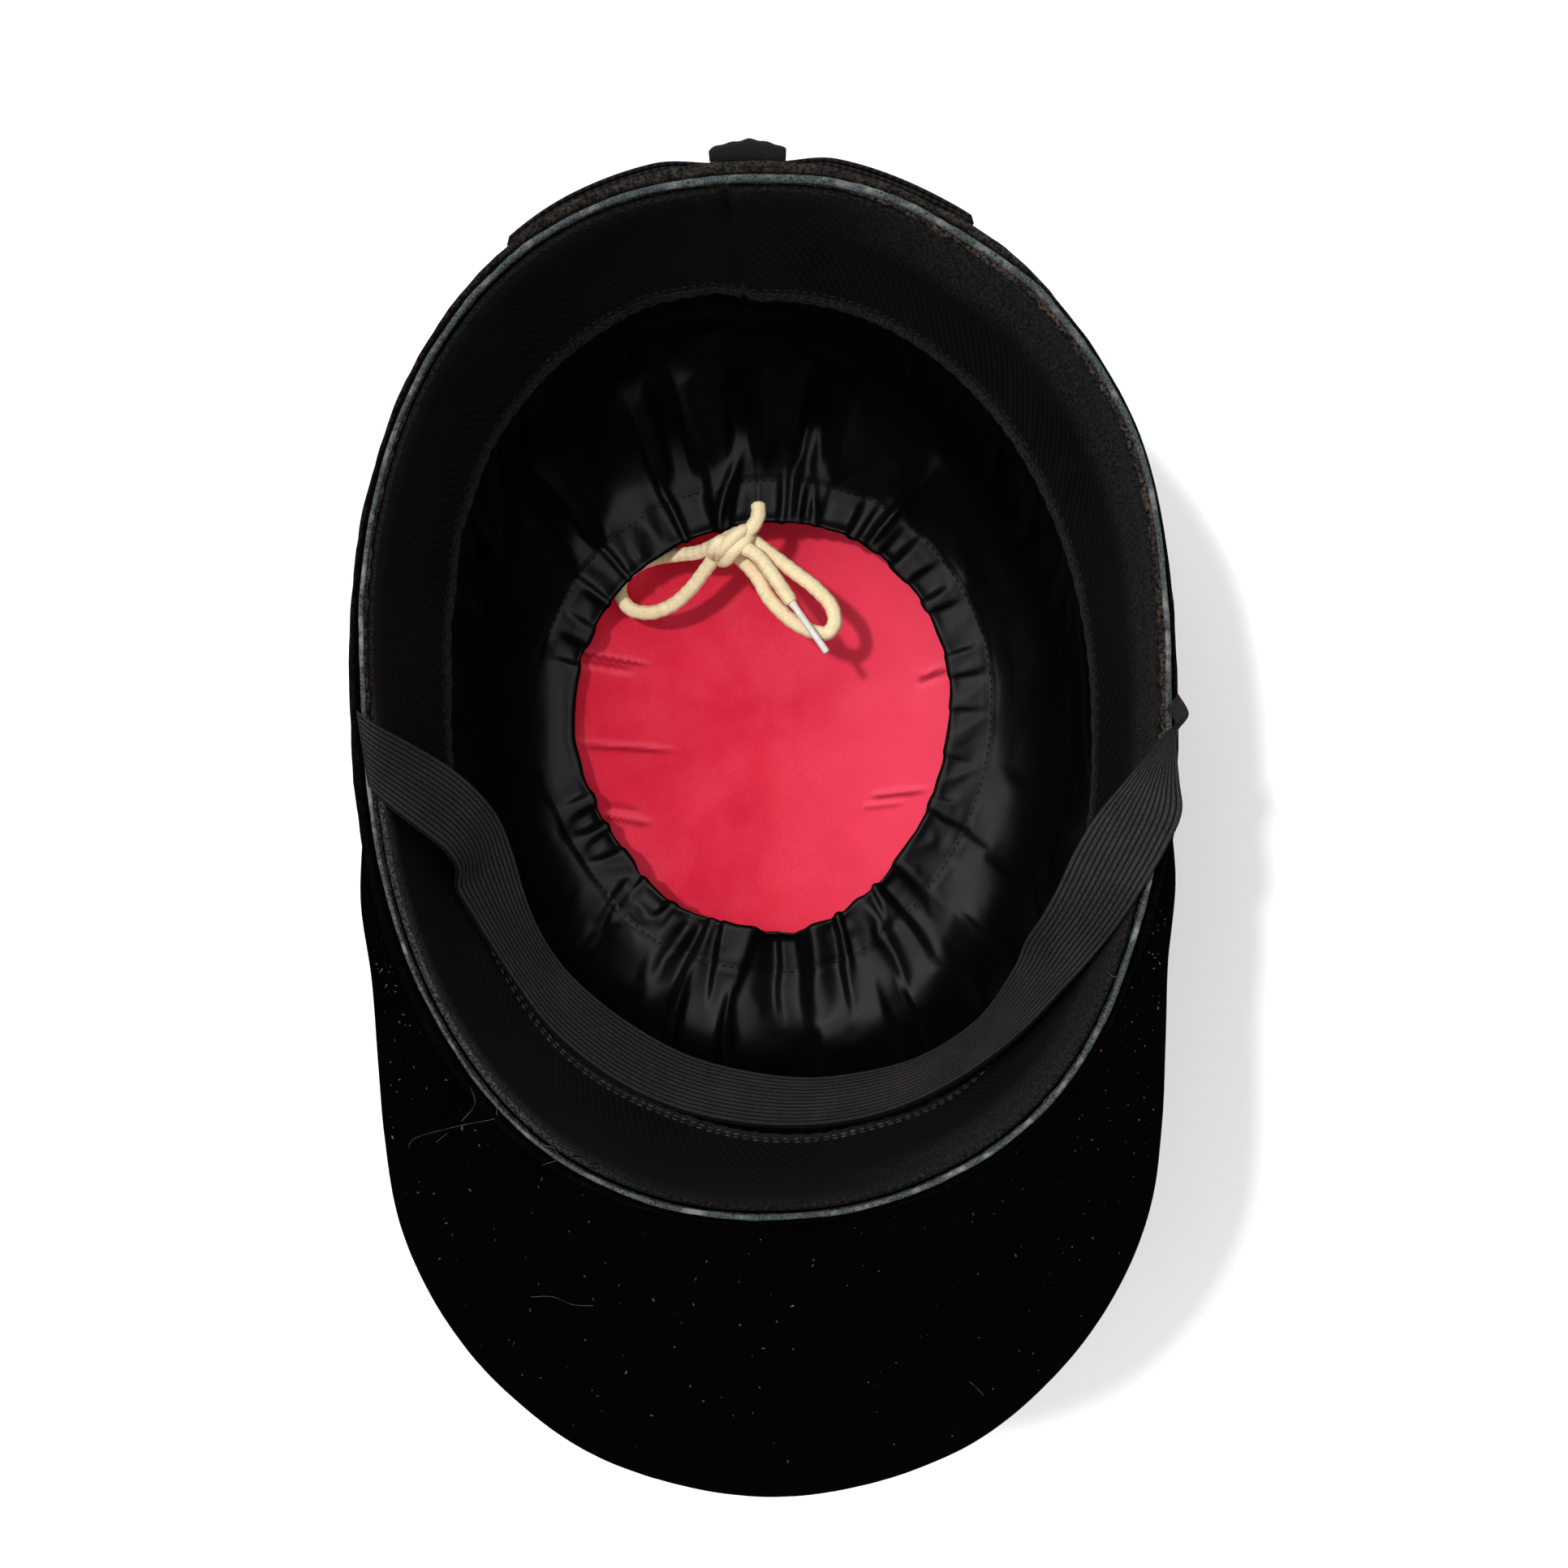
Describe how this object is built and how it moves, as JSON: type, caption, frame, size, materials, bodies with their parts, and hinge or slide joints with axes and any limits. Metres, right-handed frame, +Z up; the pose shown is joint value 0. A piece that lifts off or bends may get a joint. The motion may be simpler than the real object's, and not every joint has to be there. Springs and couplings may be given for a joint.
{
  "type": "velvet hunt cap",
  "caption": "Rounded velvet riding cap with a stiff peak, sweatband, gathered satin lining with a drawstring, elastic chin strap and a ribbon bow at the back.",
  "frame": {"origin": "on the flattened patch of velvet at the top of the crown, on which the cap lies upside down, straight below the middle of the rim's oval", "axes": "+Z up from the crown to the opening, +Y to the back of the cap where the bow is, -Y to the peak, +X to the right as one looks into the opening with the peak nearest"},
  "size_m": [0.1622, 0.2551, 0.143],
  "materials": {
    "velvet": "deep black cotton velvet over a stiff shell",
    "piping": "worn grey-black corded cotton edge",
    "band_cotton": "black cotton twill",
    "satin": "black satin, gathered",
    "red_satin": "crimson satin",
    "elastic": "ribbed black woven elastic",
    "cotton_cord": "cream cotton cord",
    "aglet": "white plastic tube",
    "ribbon": "black ribbed ribbon"
  },
  "bodies": {
    "root": {"velvet_crown": "velvet", "peak": "velvet", "rim_piping": "piping", "sweatband": "band_cotton", "satin_lining": "satin", "crown_tip": "red_satin", "chin_strap": "elastic", "drawstring_left_loop": "cotton_cord", "drawstring_right_loop": "cotton_cord", "drawstring_free_end": "cotton_cord", "drawstring_stub": "cotton_cord", "drawstring_knot": "cotton_cord", "drawstring_aglet": "aglet", "bow_left": "ribbon", "bow_right": "ribbon", "bow_knot": "ribbon"}
  },
  "joints": []
}
